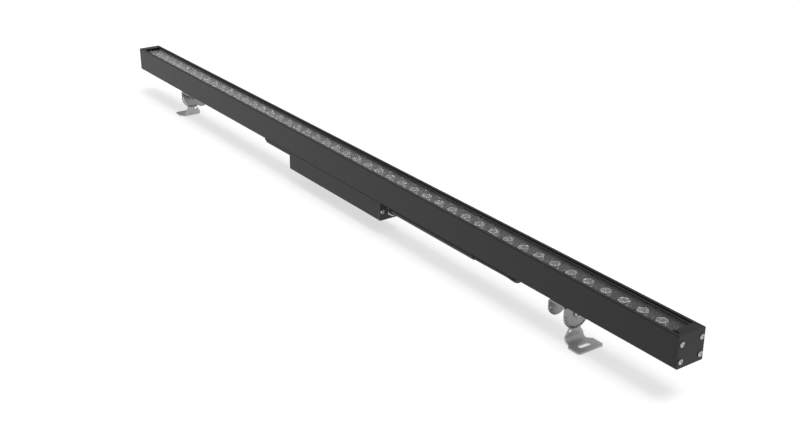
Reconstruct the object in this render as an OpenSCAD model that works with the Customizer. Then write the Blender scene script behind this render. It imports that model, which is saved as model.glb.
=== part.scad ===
// Outdoor wall washer light: a long extruded bar with 48 lensed LEDs behind glass, a driver box
// under its middle, and two tilting feet on brackets that clamp in the bar's T-slot.
// Millimetres. +X runs along the bar to the right, -Y is the front and +Z is up.
// The origin is on the ground under the middle of the bar.

/* [Bar housing] */
// Length of the bar over both end plates
bar_length = 1200; // [1000:20:1500]
// Width of the extruded housing
bar_width = 35; // [34:0.5:42]
// Height of the extruded housing
bar_height = 35; // [34:0.5:42]
// Radius of the long outer corners
bar_corner_r = 1; // [0.4:0.1:1.4]
// Thickness of the side walls and the floor
bar_wall = 2.5; // [2:0.1:2.8]
// Width of the lip along each side of the glass
lip_width = 4; // [3.6:0.1:4.6]
// Bevel on the inner edge of each lip
lip_bevel = 0.5; // [0.2:0.1:0.9]
// How far the ledge under the glass reaches in past the lip
ledge_reach = 2.5; // [2:0.1:3.2]
// Thickness of the ledge under the glass
ledge_thick = 2.5; // [2:0.1:3]
// Height of the heat sink web above the bar's underside
web_height = 16.5; // [14:0.5:17]
// Thickness of the heat sink web that carries the LED boards
web_thick = 3; // [2:0.1:3.4]

/* [T-slot under the bar] */
// Width of the slot's mouth
slot_mouth = 8; // [7:0.2:8.6]
// Thickness of the two lips beside the mouth
slot_lip = 2; // [1.6:0.1:2.4]
// Width of the pocket above the lips
slot_pocket_width = 13; // [12:0.2:13.6]
// Height of the pocket above the lips
slot_pocket_height = 4; // [3.8:0.1:4.6]
// Wall round the pocket
slot_wall = 1.5; // [1.2:0.1:1.8]

/* [Screw ports] */
// Outer radius of the screw ports in the bar
port_r = 3.3; // [3:0.1:3.6]
// Radius of the hole in each port
port_hole_r = 1.7; // [1.5:0.05:1.9]
// Distance of the ports from the bar's side faces
port_inset = 4.3; // [4:0.1:4.8]
// Height of the lower ports above the bar's underside
port_low_height = 7.4; // [6:0.1:8.6]

/* [Glass and seal] */
// Thickness of the front glass
glass_thick = 3; // [2:0.1:4]
// How far the glass lies below the lips
glass_recess = 2.5; // [2:0.1:3]
// Thickness of the seal beside the edge of the glass
seal_wall = 1; // [0.8:0.1:1.4]
// How far the seal's lips reach over the glass
seal_lip_width = 1.5; // [1:0.1:2.2]
// Thickness of the seal's lips above and below the glass
seal_lip_thick = 0.5; // [0.3:0.05:0.8]
// Play between the seal and the housing
seal_fit = 0.1; // [0.05:0.05:0.2]

/* [End plates] */
// Thickness of each end plate
end_plate_thick = 3; // [2:0.1:4]
// Thickness of the gasket behind each end plate
end_gasket_thick = 1; // [0.6:0.1:1.5]
// Length of the frame that reaches over the end of the glass, with the plate
end_frame_length = 12; // [9:0.5:16]
// Length of the drain notch in the frame
drain_length = 5; // [3:0.5:6]
// Width of the drain notch
drain_width = 1.6; // [1:0.1:2.5]
// Distance of the drain notch from the frame's inner edge
drain_inset = 2; // [1:0.5:2.5]

/* [Light engine] */
// Number of LED boards in the row
board_count = 4; // [3:1:4]
// Number of LEDs on each board
leds_per_board = 12; // [9:1:13]
// Thickness of the LED boards
board_thick = 1.6; // [1:0.1:2]
// Width of the LED boards
board_width = 26; // [20:0.5:27]
// Gap between neighbouring boards
board_gap = 0.4; // [0.2:0.1:1]
// Gap between the last board and the end gasket
board_end_gap = 1.5; // [0.5:0.1:2]
// Side of each square LED
chip_size = 3.5; // [2.8:0.1:5]
// Height of each LED
chip_height = 1.2; // [0.6:0.1:1.6]
// Gap between an LED and its lens
chip_gap = 0.2; // [0.1:0.05:0.4]
// Radius of a lens at its face
lens_r = 6.2; // [5:0.1:7]
// Radius of a lens at its foot
lens_foot_r = 3.4; // [2.6:0.1:4]
// Thickness of the plate that joins the lenses
lens_plate_thick = 1.2; // [0.8:0.1:2]
// Width of the plate that joins the lenses
lens_plate_width = 19; // [15:0.5:20]
// How far the lens plate lies below the ledge's top
lens_plate_drop = 0.3; // [0.1:0.1:1]
// Radius of the legs that stand the lens plate on its board
lens_leg_r = 1.8; // [1.2:0.1:2.4]
// Distance of the board screws from the middle line
board_screw_y = 7.6; // [7:0.1:8]
// Radius of the board screws
board_screw_r = 1.5; // [1:0.1:1.7]
// Radius of the board screws' heads
board_screw_head_r = 2.5; // [2.2:0.1:2.7]
// Height of the board screws' heads
board_screw_head_h = 1.6; // [1:0.1:2]

/* [Driver box] */
// Length of the driver box over its end plates
box_length = 220; // [200:5:300]
// How far the middle of the box lies to the right of the bar's middle
box_shift = 4; // [-20:1:20]
// Height of the driver box
box_height = 24.2; // [23:0.2:32]
// Thickness of the box's sides and floor
box_wall = 2.5; // [2:0.1:3]
// Thickness of the box's top wall and of the flange that it ends in
box_top_wall = 4.5; // [3.5:0.1:5]
// Length of the mounting flange beyond the left end
flange_length = 69; // [40:1:90]
// Length of the bevel under the flange's free end
flange_bevel = 6; // [3:0.5:9]
// Thickness of the flange at its very tip
flange_tip = 1.2; // [0.8:0.1:2]
// Thickness of the box's end plates
box_end_thick = 3; // [2:0.1:4]
// Thickness of the gaskets behind the box's end plates
box_gasket_thick = 0.8; // [0.5:0.1:1.2]
// Outer radius of the screw ports in the box
box_port_r = 3; // [2.6:0.1:3.4]
// Radius of the hole in each port of the box
box_port_hole_r = 1.5; // [1.3:0.05:1.7]
// Distance of those ports from the box's side faces
box_port_inset = 3.5; // [3:0.1:4]
// Distance of the screws that fix the box from its two ends
box_fixing_inset = 16; // [15:0.5:19]
// Distance of the flange's screw from the box's left end
flange_screw_inset = 34; // [20:1:38]

/* [Driver module] */
// Length of the driver module with its terminal blocks
module_length = 144; // [100:2:144]
// Width of the driver module
module_width = 21; // [16:0.5:21.5]
// Height of the driver module
module_height = 15.5; // [12:0.5:16]
// Length of each terminal block
terminal_length = 12; // [8:0.5:16]
// Height of the terminal blocks
terminal_height = 11.8; // [11:0.2:12.6]
// Radius of each wire between the driver and the boards
wire_r = 1.2; // [0.8:0.1:1.3]
// Distance of each wire from the middle line
wire_y = 1.5; // [1.4:0.05:1.7]
// Radius of the wire grommet
wire_grommet_r = 3.5; // [3.3:0.1:3.7]
// Distance of the wire grommet from the box's right end
wire_grommet_inset = 30; // [28:0.5:34]

/* [Cable glands] */
// Width of each gland's hexagon across its flats
gland_flats = 14.4; // [12.5:0.1:15]
// Length of the hexagon
gland_hex_length = 4; // [3:0.1:5]
// Radius of the gland's thread
gland_thread_r = 6; // [5.5:0.1:6.1]
// Length of the thread behind the hexagon
gland_thread_length = 8; // [7:0.1:9]
// Radius of the bore through the gland's body
gland_bore_r = 4.2; // [4:0.1:4.6]
// Radius of the gland's cap
gland_cap_r = 5.6; // [5:0.1:6.2]
// Length of the gland's cap
gland_cap_length = 4; // [3:0.1:6]
// Radius of the cable that the empty inlet takes
inlet_cable_r = 3.3; // [2.5:0.1:3.6]
// Width of the lock nuts across their flats
lock_nut_flats = 14; // [13.4:0.1:14.4]
// Thickness of the lock nuts
lock_nut_thick = 2.6; // [2:0.1:3]

/* [Output lead] */
// Radius of the output lead
lead_r = 2.3; // [2:0.1:2.5]
// Outer radius of the protective sleeve on the lead
sleeve_r = 3.2; // [3:0.05:3.25]
// Distance of the sleeve's left end from the gland
sleeve_start_gap = 23; // [22:1:35]
// Distance of the sleeve's right end from the grommet
sleeve_end_gap = 74.5; // [61:0.5:85]
// Distance of the lead's grommet from the right bracket's outer face
lead_grommet_gap = 77.5; // [70:0.5:95]
// Radius of the grommet's neck
lead_grommet_r = 3.15; // [3:0.05:3.3]
// Radius of the grommet's outer flange
lead_grommet_flange_r = 4.4; // [4:0.1:5]
// Thickness of the grommet's flanges
lead_grommet_flange = 0.9; // [0.6:0.1:1.2]

/* [Brackets] */
// Distance of the right bracket's outer face from the bar's right end
bracket_right_inset = 150; // [130:1:190]
// Distance of the left bracket's outer face from the bar's left end
bracket_left_inset = 154; // [130:1:200]
// Length of each bracket along the bar
bracket_length = 25.8; // [24:0.2:34]
// Thickness of the bracket's and the foot's sheet
sheet = 2; // [1.5:0.1:2.5]
// Outer radius of the brackets' bends
bend_r = 3; // [2.6:0.1:3.6]
// Depth of the pivot below the bar
pivot_drop = 11.5; // [11:0.1:14]
// Radius of the ring of holes in the protractor ear
ring_r = 15.5; // [15:0.1:15.8]
// Radius of the holes in that ring
ring_hole_r = 1.2; // [0.6:0.05:1.25]
// Number of the holes in that ring
ring_holes = 15; // [9:2:15]
// Angle between the holes in that ring
ring_pitch = 12.8; // [12:0.2:13.4]
// Radius of the inner lug's round end
lug_r = 12.2; // [11:0.1:14]
// Depth of the centre of the lug's round end below the bar
lug_drop = 9.5; // [8:0.1:11]
// Radius of the hole in the lug
lug_hole_r = 1.5; // [1:0.1:2]
// Distance of the lug's hole from its front edge
lug_hole_inset = 3; // [2.6:0.1:4]

/* [Feet] */
// Height of the pivots above the ground
pivot_height = 33; // [30:0.5:45]
// Reach of the foot's base from the inner face of its tongue
foot_reach = 28; // [26:0.5:36]
// Width of the foot's base
foot_width = 35; // [33:0.5:44]
// Radius of the base's outer corners
foot_corner_r = 3; // [2:0.5:5]
// Outer radius of the foot's bend
foot_bend_r = 7; // [4.5:0.1:7.5]
// Radius of the tongue's round top
tongue_r = 8; // [6:0.1:8.1]
// Height over which the tongue widens above the bend
tongue_flare = 7; // [4:0.5:9]
// Width of the foot at its bend
foot_neck = 25; // [20:0.5:28]
// Length of the shoulder where the base widens
foot_shoulder = 4.8; // [3:0.2:6]
// Length of the slot in the base
foot_slot_length = 17; // [10:0.5:22]
// Width of the slot in the base
foot_slot_width = 6.5; // [4.5:0.5:8]
// Distance of the slot from the inner face of the tongue
foot_slot_place = 17.4; // [16:0.1:19]
// Radius of the round hole beside the tongue's middle
tongue_hole_r = 2.2; // [1.5:0.1:2.5]
// Distance of that hole in front of the pivot
tongue_hole_y = 5.6; // [4:0.1:5.8]
// Depth of that hole below the pivot
tongue_hole_drop = 20.8; // [20.5:0.1:22]

/* [Pivot and bracket fasteners] */
// Radius of the pivot bolts
pivot_r = 2.5; // [2:0.1:2.8]
// Running clearance of the pivot bolts in their brackets
pivot_clearance = 0.05; // [0.02:0.01:0.1]
// Gap between faces that turn against each other
turning_gap = 0.1; // [0.05:0.05:0.3]
// Radius of the pivot bolts' heads
pivot_head_r = 4.7; // [4:0.1:5.2]
// Height of the pivot bolts' heads
pivot_head_h = 2.8; // [2:0.1:3.5]
// Radius of the pivot washers
washer_r = 5; // [4.4:0.1:6]
// Thickness of the pivot washers
washer_thick = 1; // [0.6:0.1:1.4]
// Width of the pivot nuts across their flats
pivot_nut_flats = 8; // [7:0.1:9]
// Thickness of the pivot nuts
pivot_nut_thick = 4.7; // [3.5:0.1:5.5]
// How far a pivot bolt stands out of its nut
bolt_end = 1.2; // [0.5:0.1:2]
// Radius of the bracket screws
bracket_screw_r = 2.5; // [2:0.1:2.8]
// Radius of the heads of the bracket screws
bracket_head_r = 4.7; // [4:0.1:5]
// Height of the heads of the bracket screws
bracket_head_h = 2.8; // [2:0.1:3.2]
// Radius of the screws that fix the driver box
fixing_screw_r = 2; // [1.5:0.1:2.2]
// Radius of the heads of those screws
fixing_head_r = 3.5; // [3:0.1:3.8]
// Height of the heads of those screws
fixing_head_h = 2.2; // [1.6:0.1:2.4]
// Radius of the heads of the end plates' screws
end_head_r = 2.9; // [2.6:0.1:3.4]
// Height of the heads of the end plates' screws
end_head_h = 1.6; // [1.3:0.1:2.2]
// Length of the end plates' screws under their heads
end_screw_length = 14; // [10:0.5:20]
// Radius of the heads of the box's end screws
box_head_r = 2.8; // [2.4:0.1:3]
// Height of the heads of the box's end screws
box_head_h = 1.9; // [1.5:0.1:2.4]
// Length of the box's end screws under their heads
box_screw_length = 11; // [8:0.5:16]
// Clearance of a screw in the hole that it passes
screw_clearance = 0.2; // [0.1:0.05:0.4]
// Clearance of a screw in the thread that holds it
thread_clearance = 0.05; // [0.03:0.01:0.1]
// Length of the slot nuts
slot_nut_length = 13; // [10:0.5:14]
// Side play of the slot nuts in the pocket
slot_nut_play = 0.3; // [0.1:0.05:0.5]
// Gap above the slot nuts in the pocket
slot_nut_top_gap = 0.6; // [0.3:0.1:0.9]

/* [Hidden] */
$fn = 64;
cut_over = 1;

// Heights above the ground
bar_z = pivot_height + pivot_drop;
bar_top = bar_z + bar_height;
glass_top = bar_top - glass_recess;
glass_bottom = glass_top - glass_thick;
seal_top = glass_top + seal_lip_thick;
ledge_top = glass_bottom - seal_lip_thick;
ledge_bottom = ledge_top - ledge_thick;
web_bottom = bar_z + web_height;
web_top = web_bottom + web_thick;
board_top = web_top + board_thick;
chip_top = board_top + chip_height;
lens_plate_top = ledge_top - lens_plate_drop;
lens_plate_bottom = lens_plate_top - lens_plate_thick;
pocket_bottom = bar_z + slot_lip;
pocket_top = pocket_bottom + slot_pocket_height;
pocket_roof = pocket_top + slot_wall;
port_low_z = bar_z + port_low_height;
port_high_z = ledge_top - port_r;

// Half widths across the bar
half_width = bar_width / 2;
inner_half = half_width - bar_wall;
open_half = half_width - lip_width;
ledge_half = open_half - ledge_reach;
port_y = half_width - port_inset;
seal_half = open_half - seal_fit;
glass_half = seal_half - seal_wall;
seal_window_half = glass_half - seal_lip_width;

// Half lengths along the bar
half_length = bar_length / 2;
profile_half = half_length - end_plate_thick - end_gasket_thick;
seal_half_length = profile_half - seal_fit;
glass_half_length = seal_half_length - seal_wall;
seal_window_half_length = glass_half_length - seal_lip_width;
board_end = profile_half - board_end_gap;

// Light engine
board_span = bar_length / board_count;
led_pitch = board_span / leds_per_board;
board_middle_gap = round(leds_per_board / 2);
board_screw_gaps = [floor(leds_per_board / 3), leds_per_board - floor(leds_per_board / 3)];
leg_gaps = [1, board_middle_gap, leds_per_board - 1];

// Driver box
box_z = bar_z - box_height;
box_middle_z = bar_z - box_height / 2;
box_left = box_shift - box_length / 2;
box_right = box_shift + box_length / 2;
box_profile_left = box_left + box_end_thick + box_gasket_thick;
box_profile_right = box_right - box_end_thick - box_gasket_thick;
box_inner_half = half_width - box_wall;
box_roof = bar_z - box_top_wall;
box_floor = box_z + box_wall;
box_port_y = half_width - box_port_inset;
inlet_z = (box_z + box_roof) / 2;
flange_left = box_left - flange_length;
fixing_places = [
    box_left - flange_screw_inset,
    box_left + box_fixing_inset,
    box_right - box_fixing_inset - screw_clearance,
];
wire_x = box_right - wire_grommet_inset;
module_left = box_shift - module_length / 2 - box_gasket_thick;
module_right = module_left + module_length;
wire_exit_z = box_floor + module_height - wire_r - screw_clearance;

// Wiring in the lower chamber
wire_run_z = pocket_roof + wire_r + thread_clearance;

// Brackets and feet, along u, which points away from the bar's middle from the bracket's outer face
bracket_right_x = half_length - bracket_right_inset;
bracket_left_x = half_length - bracket_left_inset;
lug_outer_u = -bracket_length;
lug_inner_u = lug_outer_u + sheet;
bracket_screw_u = (lug_inner_u - sheet) / 2;
head_seat_u = sheet + turning_gap;
washer_u = -sheet - turning_gap - washer_thick;
nut_u = washer_u - pivot_nut_thick;
bolt_tip_u = nut_u - bolt_end;

// The left foot's tongue turns outside its ear, and the right foot's inside it, where the bolt, washer
// and nut stand further in by the thickness of the sheet
left_tongue_u = turning_gap;
right_tongue_u = -2 * sheet - turning_gap;
right_bolt_u = -sheet;
bracket_half = half_width;
slot_end_y = (foot_slot_length - foot_slot_width) / 2;

// Output lead: its route from the driver to the grommet, as X, Y and the height from the bar's
// underside. The bend's X counts from the gland, and the rise's from the grommet.
lead_exit_x = box_right + gland_hex_length + gland_cap_length;
lead_exit_z = -box_height / 2;
lead_grommet_x = bracket_right_x - lead_grommet_gap;
lead_grommet_y = -11.5;
lead_run = [-14.2, -3.3];
lead_bend = [
    [0, 0, lead_exit_z], [3.7, -0.5, -11.8], [7, -2.1, -10.9], [9.5, -4.4, -9.4],
    [11, -7.3, -7.7], [12.4, -10, -6], [14.9, -12.3, -4.6], [18.2, -13.8, -3.6],
];
lead_rise = [
    [-42.5, -13.9, -3.3], [-28.5, -13.5, -3.4], [-17.5, -12.8, -4], [-11.5, -12.3, -4.9],
    [-6.5, -11.9, -5.4], [-3.9, -11.7, -4.9], [-1.7, -11.6, -3.7], [-0.4, lead_grommet_y, -2.2],
    [0, lead_grommet_y, -1], [0, lead_grommet_y, 1.5], [0, lead_grommet_y, 4],
];
lead_run_steps = [lead_exit_x + 22 : 14 : lead_grommet_x - 60.5];
lead_sides = 10;
lead_route = concat(
    [for (x = [module_right, lead_exit_x - 24, lead_exit_x - 12]) [x, 0, lead_exit_z]],
    [for (p = lead_bend) p + [lead_exit_x, 0, 0]],
    [for (x = lead_run_steps) [x, lead_run[0], lead_run[1]]],
    [for (p = lead_rise) p + [lead_grommet_x, 0, 0]]
);

// Colours
anthracite = [0.30, 0.31, 0.32];
steel = [0.72, 0.72, 0.71];
black = [0.08, 0.08, 0.09];

// Extrudes a section drawn in Y and Z from x0 to x1
module along_x(x0, x1) {
    translate([x0, 0, 0])
        rotate([90, 0, 90])
            linear_extrude(x1 - x0)
                children();
}

// A box from one corner to the other
module span(low, high) {
    translate(low)
        cube(high - low);
}

// A rectangle with round corners from one corner to the other
module round_rect(low, high, r) {
    translate([low[0] + r, low[1]])
        square([high[0] - low[0] - 2 * r, high[1] - low[1]]);
    translate([low[0], low[1] + r])
        square([high[0] - low[0], high[1] - low[1] - 2 * r]);
    for (y = [low[0] + r, high[0] - r], z = [low[1] + r, high[1] - r])
        translate([y, z])
            circle(r);
}

// A hexagonal prism along X, centred on Y = 0 and Z = 0, with two upright flats
module hex_along_x(flats, length) {
    rotate([0, 90, 0])
        cylinder(r = flats / 2 / cos(30), h = length, $fn = 6);
}

// A screw along X with its head's seat at X = 0 and a socket in its domed head
module screw(r, length, head_r, head_h) {
    socket_r = head_r / 2;
    dome_r = head_r * 2;
    rotate([0, 90, 0])
        difference() {
            union() {
                translate([0, 0, -length])
                    cylinder(r = r, h = length);
                intersection() {
                    cylinder(r = head_r, h = head_h);
                    translate([0, 0, head_h - dome_r])
                        sphere(dome_r);
                }
            }
            translate([0, 0, head_h / 3])
                cylinder(r = socket_r, h = head_h, $fn = 6);
        }
}

module screw_upward(r, length, head_r, head_h) {
    rotate([0, 90, 0])
        screw(r, length, head_r, head_h);
}

module tube_along_x(outer_r, bore_r, length) {
    rotate([0, 90, 0])
        difference() {
            cylinder(r = outer_r, h = length);
            translate([0, 0, -cut_over])
                cylinder(r = bore_r, h = length + 2 * cut_over);
        }
}

module bar_outline() {
    round_rect([-half_width, bar_z], [half_width, bar_top], bar_corner_r);
}

module at_bar_ports() {
    for (y = [-port_y, port_y], z = [port_low_z, port_high_z])
        translate([y, z])
            children();
}

module at_box_ports() {
    for (y = [-box_port_y, box_port_y])
        translate([y, box_middle_z])
            children();
}

// Bar housing
module bar_chambers() {
    translate([-open_half, ledge_top])
        square([2 * open_half, bar_top - ledge_top + cut_over]);
    for (side = [-1, 1])
        polygon([
            [side * (open_half - cut_over), bar_top - lip_bevel - cut_over],
            [side * (open_half + lip_bevel + cut_over), bar_top + cut_over],
            [side * (open_half - cut_over), bar_top + cut_over],
        ]);
    translate([-ledge_half, ledge_bottom - cut_over])
        square([2 * ledge_half, ledge_thick + 2 * cut_over]);
    translate([-inner_half, web_top])
        square([2 * inner_half, ledge_bottom - web_top]);
    translate([-inner_half, bar_z + bar_wall])
        square([2 * inner_half, web_bottom - bar_z - bar_wall]);
}

module slot_walls() {
    half = slot_pocket_width / 2 + slot_wall;
    translate([-half, bar_z])
        square([2 * half, pocket_roof - bar_z]);
}

module slot_hollow() {
    translate([-slot_pocket_width / 2, pocket_bottom])
        square([slot_pocket_width, slot_pocket_height]);
    translate([-slot_mouth / 2, bar_z - cut_over])
        square([slot_mouth, slot_lip + 2 * cut_over]);
}

module bar_section() {
    difference() {
        union() {
            difference() {
                bar_outline();
                bar_chambers();
            }
            slot_walls();
            at_bar_ports()
                circle(port_r);
        }
        slot_hollow();
        at_bar_ports()
            circle(port_hole_r);
    }
}

module housing_profile() {
    color(anthracite)
        difference() {
            along_x(-profile_half, profile_half)
                bar_section();
            translate([wire_x, 0, pocket_top - cut_over])
                cylinder(r = wire_grommet_r, h = slot_wall + 2 * cut_over);
            translate([lead_grommet_x, lead_grommet_y, bar_z - cut_over])
                cylinder(r = lead_grommet_r + thread_clearance, h = bar_wall + 2 * cut_over);
            for (i = [0 : board_count - 1])
                translate([board_gap_x(i, board_middle_gap), 0, web_bottom - cut_over])
                    cylinder(r = wire_y + wire_r + screw_clearance, h = web_thick + 2 * cut_over);
            at_board_screws()
                translate([0, 0, web_bottom - cut_over])
                    cylinder(r = board_screw_r + thread_clearance, h = web_thick + 2 * cut_over);
        }
}

// End plates, each with a frame that closes the lips over the end of the glass
module end_plate() {
    frame_half = open_half - seal_fit;
    frame_x = half_length - end_frame_length;
    difference() {
        union() {
            along_x(half_length - end_plate_thick, half_length)
                bar_outline();
            span(
                [frame_x, -frame_half, seal_top + seal_fit],
                [half_length - end_plate_thick / 2, frame_half, bar_top]
            );
        }
        along_x(half_length - end_plate_thick - cut_over, half_length + cut_over)
            at_bar_ports()
                circle(port_hole_r + thread_clearance + screw_clearance);
        span(
            [frame_x + drain_inset, -frame_half - cut_over, seal_top - cut_over],
            [frame_x + drain_inset + drain_length, -frame_half + drain_width, bar_top + cut_over]
        );
    }
}

module end_gasket() {
    along_x(profile_half, half_length - end_plate_thick)
        difference() {
            bar_outline();
            translate([-open_half, seal_top])
                square([2 * open_half, bar_top - seal_top + cut_over]);
            at_bar_ports()
                circle(port_hole_r + screw_clearance);
        }
}

module end_screws() {
    for (y = [-port_y, port_y], z = [port_low_z, port_high_z])
        translate([half_length, y, z])
            screw(port_hole_r - thread_clearance, end_screw_length, end_head_r, end_head_h);
}

module on_left() {
    rotate([0, 0, 180])
        children();
}

module end_plate_left() {
    color(anthracite)
        on_left()
            end_plate();
}

module end_plate_right() {
    color(anthracite)
        end_plate();
}

module end_gasket_left() {
    color(black)
        on_left()
            end_gasket();
}

module end_gasket_right() {
    color(black)
        end_gasket();
}

module end_screws_left() {
    color(steel)
        on_left()
            end_screws();
}

module end_screws_right() {
    color(steel)
        end_screws();
}

// Glass and its seal
module front_glass() {
    color([0.75, 0.80, 0.82, 0.5])
        span(
            [-glass_half_length + thread_clearance, -glass_half + thread_clearance, glass_bottom],
            [glass_half_length - thread_clearance, glass_half - thread_clearance, glass_top]
        );
}

module glass_seal() {
    color(black)
        difference() {
            span([-seal_half_length, -seal_half, ledge_top], [seal_half_length, seal_half, seal_top]);
            span(
                [-glass_half_length, -glass_half, glass_bottom],
                [glass_half_length, glass_half, glass_top]
            );
            span(
                [-seal_window_half_length, -seal_window_half, ledge_top - cut_over],
                [seal_window_half_length, seal_window_half, seal_top + cut_over]
            );
        }
}

// Light engine: the middle of the gap after the LED of this count on a board, and its screws
function board_gap_x(board, count) = -half_length + board * board_span + count * led_pitch;

module at_board_screws() {
    for (i = [0 : board_count - 1], count = board_screw_gaps, y = [-board_screw_y, board_screw_y])
        translate([board_gap_x(i, count), y, 0])
            children();
}

module at_leds(i) {
    for (led = [0 : leds_per_board - 1])
        translate([board_gap_x(i, led) + led_pitch / 2, 0, 0])
            children();
}

function board_left(i) = max(board_gap_x(i, 0) + board_gap / 2, -board_end);
function board_right(i) = min(board_gap_x(i + 1, 0) - board_gap / 2, board_end);

module led_board(i) {
    color([0.08, 0.08, 0.085])
        difference() {
            span([board_left(i), -board_width / 2, web_top], [board_right(i), board_width / 2, board_top]);
            at_board_screws()
                translate([0, 0, web_top - cut_over])
                    cylinder(r = board_screw_r + screw_clearance, h = board_thick + 2 * cut_over);
        }
}

module led_chips(i) {
    color([0.92, 0.88, 0.60])
        at_leds(i)
            span([-chip_size / 2, -chip_size / 2, board_top], [chip_size / 2, chip_size / 2, chip_top]);
}

module lens_strip(i) {
    color([0.85, 0.88, 0.90, 0.7]) {
        span(
            [board_left(i), -lens_plate_width / 2, lens_plate_bottom],
            [board_right(i), lens_plate_width / 2, lens_plate_top]
        );
        lens_foot_z = chip_top + chip_gap;
        at_leds(i)
            translate([0, 0, lens_foot_z])
                cylinder(r1 = lens_foot_r, r2 = lens_r, h = lens_plate_top - lens_foot_z);
        for (count = leg_gaps)
            translate([board_gap_x(i, count), 0, board_top])
                cylinder(r = lens_leg_r, h = lens_plate_top - board_top);
    }
}

module board_screws() {
    color(steel)
        at_board_screws()
            translate([0, 0, board_top])
                rotate([0, -90, 0])
                    screw(board_screw_r, board_thick + web_thick, board_screw_head_r, board_screw_head_h);
}

// Wires from the driver up through the grommet and along the lower chamber to each board
module board_wiring() {
    last_board_x = board_gap_x(board_count - 1, board_middle_gap);
    color([0.75, 0.12, 0.10])
        for (y = [-wire_y, wire_y]) {
            translate([module_right, y, wire_exit_z])
                rotate([0, 90, 0])
                    cylinder(r = wire_r, h = wire_x - module_right);
            translate([wire_x, y, wire_exit_z])
                cylinder(r = wire_r, h = wire_run_z - wire_exit_z);
            translate([-last_board_x, y, wire_run_z])
                rotate([0, 90, 0])
                    cylinder(r = wire_r, h = 2 * last_board_x);
            for (i = [0 : board_count - 1])
                translate([board_gap_x(i, board_middle_gap), y, wire_run_z])
                    cylinder(r = wire_r, h = web_top - wire_run_z);
        }
}

module wire_grommet() {
    grommet_bore_r = wire_y + wire_r + thread_clearance;
    color(black)
        translate([wire_x, 0, box_roof])
            rotate([0, -90, 0])
                tube_along_x(wire_grommet_r - thread_clearance, grommet_bore_r, pocket_roof - box_roof);
}

// Driver box: an extruded box whose top wall runs on as a flange
module box_outline() {
    round_rect([-half_width, box_z], [half_width, bar_z], bar_corner_r);
    translate([-half_width, bar_z - box_top_wall])
        square([bar_width, box_top_wall]);
}

module box_section() {
    difference() {
        union() {
            difference() {
                box_outline();
                translate([-box_inner_half, box_floor])
                    square([2 * box_inner_half, box_roof - box_floor]);
            }
            at_box_ports()
                circle(box_port_r);
        }
        at_box_ports()
            circle(box_port_hole_r);
    }
}

module flange() {
    translate([0, half_width, 0])
        rotate([90, 0, 0])
            linear_extrude(bar_width)
                polygon([
                    [flange_left, bar_z],
                    [flange_left, bar_z - flange_tip],
                    [flange_left + flange_bevel, box_roof],
                    [box_profile_left + cut_over, box_roof],
                    [box_profile_left + cut_over, bar_z],
                ]);
}

module driver_box() {
    color(anthracite)
        difference() {
            union() {
                along_x(box_profile_left, box_profile_right)
                    box_section();
                flange();
            }
            for (x = fixing_places)
                translate([x, 0, box_roof - cut_over])
                    cylinder(r = fixing_screw_r + screw_clearance, h = box_top_wall + 2 * cut_over);
            translate([wire_x, 0, box_roof - cut_over])
                cylinder(r = wire_grommet_r, h = box_top_wall + 2 * cut_over);
        }
}

module box_end_section(top_z, gland_z, hole_r, gland_hole_r) {
    difference() {
        intersection() {
            box_outline();
            translate([-half_width, box_z])
                square([bar_width, top_z - box_z]);
        }
        at_box_ports()
            circle(hole_r);
        translate([0, gland_z])
            circle(gland_hole_r);
    }
}

module box_gasket_section(top_z) {
    difference() {
        box_end_section(top_z, box_middle_z, box_port_hole_r + screw_clearance, port_hole_r);
        difference() {
            translate([-box_inner_half, box_floor])
                square([2 * box_inner_half, box_roof - box_floor]);
            at_box_ports()
                circle(box_port_r);
        }
    }
}

module driver_box_end_left() {
    color(anthracite)
        along_x(box_left, box_left + box_end_thick)
            box_end_section(
                box_roof - thread_clearance, inlet_z, box_port_hole_r + screw_clearance,
                gland_thread_r + screw_clearance
            );
}

module driver_box_end_right() {
    color([0.12, 0.12, 0.13])
        along_x(box_right - box_end_thick, box_right)
            box_end_section(
                bar_z, box_middle_z, box_port_hole_r + screw_clearance, gland_thread_r + screw_clearance
            );
}

module driver_box_gasket_left() {
    color(black)
        along_x(box_left + box_end_thick, box_profile_left)
            box_gasket_section(box_roof - thread_clearance);
}

module driver_box_gasket_right() {
    color(black)
        along_x(box_profile_right, box_right - box_end_thick)
            box_gasket_section(bar_z);
}

module box_end_screws() {
    for (y = [-box_port_y, box_port_y])
        translate([0, y, box_middle_z])
            screw(box_port_hole_r - thread_clearance, box_screw_length, box_head_r, box_head_h);
}

module driver_box_screws_left() {
    color(steel)
        translate([box_left, 0, 0])
            rotate([0, 0, 180])
                box_end_screws();
}

module driver_box_screws_right() {
    color(steel)
        translate([box_right, 0, 0])
            box_end_screws();
}

// Screws from inside the box and under the flange, and their nuts in the T-slot
module slot_nut(screw_r) {
    half = slot_pocket_width / 2 - slot_nut_play;
    nut_top = pocket_top - slot_nut_top_gap;
    difference() {
        span([-slot_nut_length / 2, -half, pocket_bottom], [slot_nut_length / 2, half, nut_top]);
        translate([0, 0, pocket_bottom - cut_over])
            cylinder(r = screw_r + thread_clearance, h = nut_top - pocket_bottom + 2 * cut_over);
    }
}

module box_fixing_screws() {
    color(steel)
        for (x = fixing_places)
            translate([x, 0, box_roof])
                screw_upward(
                    fixing_screw_r, pocket_top - slot_nut_top_gap - box_roof, fixing_head_r, fixing_head_h
                );
}

module box_slot_nuts() {
    color(steel)
        for (x = fixing_places)
            translate([x, 0, 0])
                slot_nut(fixing_screw_r);
}

module driver_module() {
    half = module_width / 2;
    color([0.82, 0.82, 0.80]) {
        span(
            [module_left + terminal_length, -half, box_floor],
            [module_right - terminal_length, half, box_floor + module_height]
        );
        span([module_left, -half, box_floor], [module_right, half, box_floor + terminal_height]);
        span(
            [module_right - 2 * terminal_length, -wire_y - 2 * wire_r, box_floor],
            [module_right, wire_y + 2 * wire_r, box_floor + module_height]
        );
    }
}

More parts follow.
